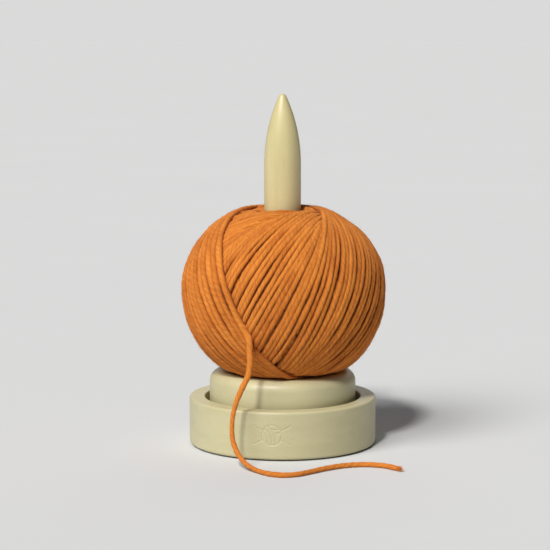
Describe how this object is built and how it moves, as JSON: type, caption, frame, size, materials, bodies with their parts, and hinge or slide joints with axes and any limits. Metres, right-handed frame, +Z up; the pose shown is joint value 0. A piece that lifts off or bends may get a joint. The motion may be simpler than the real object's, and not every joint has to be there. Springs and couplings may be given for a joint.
{
  "type": "yarn holder",
  "caption": "Turned wooden yarn holder: a disc that spins in a round base on a ball bearing, with a pointed peg that carries a lift-off ball of yarn.",
  "frame": {"origin": "on the table, under the middle of the base", "axes": "+Z up along the spindle, which is the axis that the disc turns on; -Y towards the side where the loose strand hangs"},
  "size_m": [0.1214, 0.1507, 0.2],
  "materials": {
    "turned_wood": "fine sanded, satin oil",
    "spindle_wood": "fine sanded, waxed",
    "orange_wool": "plied wool yarn",
    "grey_felt": "pressed felt",
    "bearing_steel": "ground",
    "plated_steel": "zinc plated",
    "turned_brass": "turned",
    "white_nylon": "moulded"
  },
  "bodies": {
    "base": {"base_housing": "turned_wood", "foot_pad_1": "grey_felt", "foot_pad_2": "grey_felt", "foot_pad_3": "grey_felt", "foot_pad_4": "grey_felt", "lower_race": "bearing_steel", "lower_race_screw_1": "plated_steel", "lower_race_screw_2": "plated_steel", "lower_race_screw_3": "plated_steel", "pivot_bush": "turned_brass"},
    "turntable": {"turntable_disc": "turned_wood", "spindle": "spindle_wood", "upper_race": "bearing_steel", "upper_race_screw_1": "plated_steel", "upper_race_screw_2": "plated_steel", "upper_race_screw_3": "plated_steel", "threaded_insert": "turned_brass", "pivot_bolt": "plated_steel", "thrust_washer": "white_nylon"},
    "bearing_cage": {"ball_cage": "white_nylon", "bearing_ball_01": "bearing_steel", "bearing_ball_02": "bearing_steel", "bearing_ball_03": "bearing_steel", "bearing_ball_04": "bearing_steel", "bearing_ball_05": "bearing_steel", "bearing_ball_06": "bearing_steel", "bearing_ball_07": "bearing_steel", "bearing_ball_08": "bearing_steel", "bearing_ball_09": "bearing_steel", "bearing_ball_10": "bearing_steel", "bearing_ball_11": "bearing_steel", "bearing_ball_12": "bearing_steel"},
    "yarn": {"yarn_ball": "orange_wool", "yarn_strand": "orange_wool"}
  },
  "joints": [
    {"name": "turntable_spin", "type": "hinge", "parent": "base", "child": "turntable", "pos_m": [0, 0, 0.0146], "axis": [0, 0, 1], "continuous": true},
    {"name": "cage_orbit", "type": "hinge", "parent": "base", "child": "bearing_cage", "pos_m": [0, 0, 0.0146], "axis": [0, 0, 1], "continuous": true},
    {"name": "yarn_lift", "type": "slide", "parent": "turntable", "child": "yarn", "axis": [0, 0, 1], "range_m": [0, 0.16]}
  ],
  "couplings": [
    {"joint": "cage_orbit", "follows": "turntable_spin", "ratio": 0.5}
  ]
}
